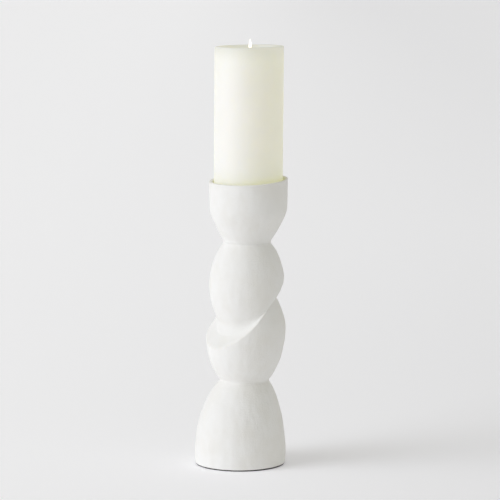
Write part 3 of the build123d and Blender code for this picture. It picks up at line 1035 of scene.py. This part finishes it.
def wick_cotton():
    """Cotton, waxed at the bottom, charred above and glowing at the very tip."""
    shader = Shader("wick_cotton")
    height = shader.axis("Z")
    fibre_space = shader.stretch(1.0, 1.0, 0.3)
    fibres = shader.noise(0.25 * MM, detail=4.0, roughness=0.7, space=fibre_space)
    char_start = POOL_LEVEL + 0.4 * MM
    wick_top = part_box("wick")[1].z
    fade = 1.6 * MM
    ember_strength = 4.0
    charred = shader.ramp(height, char_start, char_start + fade)
    waxed_cotton = shader.mix(fibres, (0.62, 0.55, 0.36), (0.80, 0.74, 0.55))
    burnt_cotton = shader.mix(fibres, (0.012, 0.010, 0.009), (0.060, 0.050, 0.045))
    colour = shader.mix(charred, waxed_cotton, burnt_cotton)
    ember = shader.ramp(height, wick_top - fade, wick_top)
    shader.set("Emission Color", (1.0, 0.30, 0.06, 1.0))
    emission = shader.maths("MULTIPLY", ember, ember_strength)
    shader.link(emission, shader.surface.inputs["Emission Strength"])
    roughness = shader.ramp(fibres, 0.3, 0.7, 0.75, 0.95)
    return shader.finish(colour, roughness, shader.bump(fibres, 0.12 * MM))


def flame_light():
    """Clear and bluish at the bottom, then warm, then almost white, fading at the tip."""
    shader = Shader("flame_light")
    blue_foot = (0.30, 0.45, 1.0)
    amber = (1.0, 0.62, 0.22)
    warm_white = (1.0, 0.97, 0.88)
    height = shader.axis("Z")
    body = shader.ramp(height, FLAME_FOOT + 1.0 * MM, FLAME_FOOT + 6.5 * MM)
    heart = shader.ramp(height, FLAME_FOOT + 3.0 * MM, CANDLE_TOP + 1.0 * MM)
    tip_fade = shader.ramp(height, CANDLE_TOP + 2.5 * MM, CANDLE_TOP + 8.5 * MM, 1.0, 0.1)
    flicker = shader.ramp(shader.noise(4 * MM, detail=1.0), 0.2, 0.8, 1.9, 2.3)
    colour = shader.mix(body, blue_foot, shader.mix(heart, amber, warm_white))
    cover = shader.maths("MULTIPLY", shader.ramp(body, 0.0, 0.5, 0.15, 0.97), tip_fade)
    emission = shader.node("Emission")
    clear = shader.node("BsdfTransparent")
    blend = shader.node("MixShader")
    output = shader.tree.nodes["Material Output"]
    shader.link(colour, emission.inputs["Color"])
    shader.link(shader.maths("MULTIPLY", body, flicker), emission.inputs["Strength"])
    shader.link(cover, blend.inputs["Fac"])
    shader.link(clear.outputs["BSDF"], blend.inputs[1])
    shader.link(emission.outputs["Emission"], blend.inputs[2])
    shader.link(blend.outputs["Shader"], output.inputs["Surface"])
    return shader.material


def pan_steel():
    """Dull pressed steel with fine turning marks and a little straw-coloured heat tint."""
    shader = Shader("pan_steel")
    tint = shader.noise(16 * MM, detail=3.0)
    scratch_space = shader.stretch(1.0, 0.08, 1.0)
    scratches = shader.noise(0.5 * MM, detail=3.0, roughness=0.6, space=scratch_space)
    soot = shader.noise(6 * MM, detail=4.0, roughness=0.6)
    bare_steel = (0.50, 0.49, 0.47)
    straw_steel = (0.47, 0.42, 0.34)
    sooty = (0.16, 0.15, 0.14)
    colour = shader.mix(shader.ramp(tint, 0.35, 0.7), bare_steel, straw_steel)
    colour = shader.mix(shader.ramp(soot, 0.58, 0.80, 0.0, 0.5), colour, sooty)
    roughness = shader.ramp(scratches, 0.3, 0.7, 0.34, 0.52)
    shader.set("Metallic", 1.0)
    return shader.finish(colour, roughness, shader.bump(scratches, 0.02 * MM))


def pad_felt():
    """Dark pressed felt with a matted nap."""
    shader = Shader("pad_felt")
    fibres = shader.noise(0.35 * MM, detail=5.0, roughness=0.75, distortion=1.2)
    matting = shader.noise(4 * MM, detail=3.0)
    black_felt = (0.012, 0.012, 0.013)
    grey_fibre = (0.055, 0.052, 0.050)
    worn_felt = (0.075, 0.070, 0.066)
    colour = shader.mix(fibres, black_felt, grey_fibre)
    colour = shader.mix(shader.ramp(matting, 0.5, 0.8, 0.0, 0.4), colour, worn_felt)
    roughness = shader.ramp(fibres, 0.3, 0.7, 0.90, 1.0)
    shader.set("Sheen Weight", 0.25)
    shader.set("Sheen Roughness", 0.6)
    return shader.finish(colour, roughness, shader.bump(fibres, 0.25 * MM))


def dowel_wood():
    """Bare beech: straight pores along the rod and flecks across it."""
    shader = Shader("dowel_wood")
    pale_wood = (0.60, 0.42, 0.25)
    dark_pore = (0.44, 0.27, 0.14)
    dark_fleck = (0.30, 0.17, 0.09)
    grain_space = shader.stretch(1.0, 1.0, 0.06)
    grain = shader.noise(0.9 * MM, detail=5.0, roughness=0.6, space=grain_space, distortion=0.3)
    flecks = shader.cells(1.6 * MM, shader.stretch(1.0, 1.0, 0.25))
    colour = shader.mix(shader.ramp(grain, 0.3, 0.75), pale_wood, dark_pore)
    colour = shader.mix(shader.ramp(flecks, 0.0, 0.18, 0.5, 0.0), colour, dark_fleck)
    roughness = shader.ramp(grain, 0.3, 0.7, 0.55, 0.70)
    return shader.finish(colour, roughness, shader.bump(grain, 0.08 * MM))


# ---- Putting the object together ----

PAINT = painted_wood()
finish_piece(make_felt_pad(), "holder", "pad_felt", pad_felt(), "base_pad")
for make_piece, node in ((make_foot, "foot"), (make_lower_bulb, "lower_bulb"),
                         (make_upper_bulb, "upper_bulb"), (make_cup, "cup")):
    finish_piece(make_piece(), "holder", "painted_wood", PAINT, node)
finish_piece(make_drip_pan(), "holder", "pan_steel", pan_steel(), "drip_pan")
finish_piece(make_candle(), "candle", "candle_wax", candle_wax(), "candle")
finish_piece(make_melted_wax(), "candle", "candle_wax", melted_wax())
finish_piece(make_wick(), "candle", "wick_cotton", wick_cotton(), "wick")
finish_piece(make_flame(), "candle", "candle_wax", flame_light())

DOWEL = dowel_wood()
for node in ("lower_neck_dowel", "waist_dowel", "upper_neck_dowel"):
    node_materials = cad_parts[node].data.materials
    node_materials.clear()
    node_materials.append(DOWEL)


# ---- Floor, light and camera ----

FLOOR_REACH = 30.0
# The floor's painted shade changes between these places, across X and along Y.
FLOOR_LEFT = -0.6
FLOOR_RIGHT = 1.0
FLOOR_NEAR = -0.6
FLOOR_FAR = 2.4
NEAR_SHADE = 1.45
FAR_SHADE = 0.78
CAMERA_PLACE = (0.0106, -2.752, 0.5785)
CAMERA_DIP = math.radians(7.2)
CAMERA_LENS = 187.2


def make_floor():
    """A wide sheet of pale paper. Its colour is painted darker to the right, away from the lamps, and
    more so in front: painted shade for the lamps' fall-off. It also glows faintly: painted light for
    what a white studio's walls send back up."""
    signs = ((-1, -1), (1, -1), (1, 1), (-1, 1))
    corners = [(FLOOR_REACH * x, FLOOR_REACH * y, 0) for x, y in signs]
    mesh = bpy.data.meshes.new("floor")
    mesh.from_pydata(corners, [], [(0, 1, 2, 3)])
    floor = new_object("floor", mesh)
    shader = Shader("floor_paper")
    across = shader.ramp(shader.axis("X"), FLOOR_LEFT, FLOOR_RIGHT)
    nearness = shader.ramp(shader.axis("Y"), FLOOR_NEAR, FLOOR_FAR, NEAR_SHADE, FAR_SHADE)
    shade = shader.maths("MULTIPLY", across, nearness)
    # Painted shade in the paper's colour, and a painted glow for the light sent back up.
    paper = shader.mix(shade, (0.915, 0.915, 0.917), (0.795, 0.795, 0.797))
    painted_glow = shader.mix(shade, (0.174, 0.170, 0.189), (0.144, 0.140, 0.158))
    shader.link(paper, shader.surface.inputs["Base Color"])
    shader.link(painted_glow, shader.surface.inputs["Emission Color"])
    shader.set("Emission Strength", 1.0)
    shader.set("Roughness", 0.9)
    shader.set("Specular IOR Level", 0.1)
    floor.data.materials.append(shader.material)
    return floor


def make_softbox(name, azimuth, elevation, spread, energy, colour):
    """A broad soft lamp. Its azimuth, from the left towards the front, its elevation and its
    spread are in degrees."""
    lamp = bpy.data.lights.new(name, "SUN")
    lamp.energy = energy
    lamp.angle = math.radians(spread)
    lamp.color = colour
    softbox = new_object(name, lamp)
    turn = math.radians(azimuth)
    rise = math.radians(elevation)
    towards_lamp = Vector((-math.cos(turn) * math.cos(rise), -math.sin(turn) * math.cos(rise),
                           math.sin(rise)))
    softbox.rotation_euler = towards_lamp.to_track_quat("Z", "Y").to_euler()
    return softbox


def make_light(floor):
    """A pale even sky, two soft lamps at the left, a faint one at the right, and a high one that
    reaches only the floor."""
    world = bpy.data.worlds.new("studio")
    world.use_nodes = True
    sky = world.node_tree.nodes["Background"]
    sky.inputs["Color"].default_value = (1.0, 0.998, 0.930, 1.0)
    sky.inputs["Strength"].default_value = 0.49
    bpy.context.scene.world = world
    make_softbox("high_softbox", azimuth=23, elevation=30, spread=50, energy=0.88,
                 colour=(0.960, 0.975, 1.040))
    make_softbox("low_softbox", azimuth=22, elevation=12, spread=30, energy=0.68,
                 colour=(0.940, 0.970, 1.090))
    make_softbox("far_side_fill", azimuth=205, elevation=20, spread=60, energy=0.10,
                 colour=(1.0, 1.0, 0.98))
    floor_lamp = make_softbox("floor_softbox", azimuth=10, elevation=58, spread=35, energy=0.20,
                              colour=(1.0, 1.0, 1.0))
    lit_by_floor_lamp = bpy.data.collections.new("lit_by_floor_lamp")
    lit_by_floor_lamp.objects.link(floor)
    floor_lamp.light_linking.receiver_collection = lit_by_floor_lamp


def make_camera():
    """A long lens in front of the object, tipped a little downwards."""
    data = bpy.data.cameras.new("camera")
    data.sensor_width = 36.0
    data.lens = CAMERA_LENS
    data.clip_end = 100.0
    camera = new_object("camera", data)
    camera.location = CAMERA_PLACE
    camera.rotation_euler = (math.pi / 2 - CAMERA_DIP, 0, 0)
    bpy.context.scene.camera = camera


make_light(make_floor())
make_camera()
bpy.context.scene.view_settings.view_transform = "Standard"
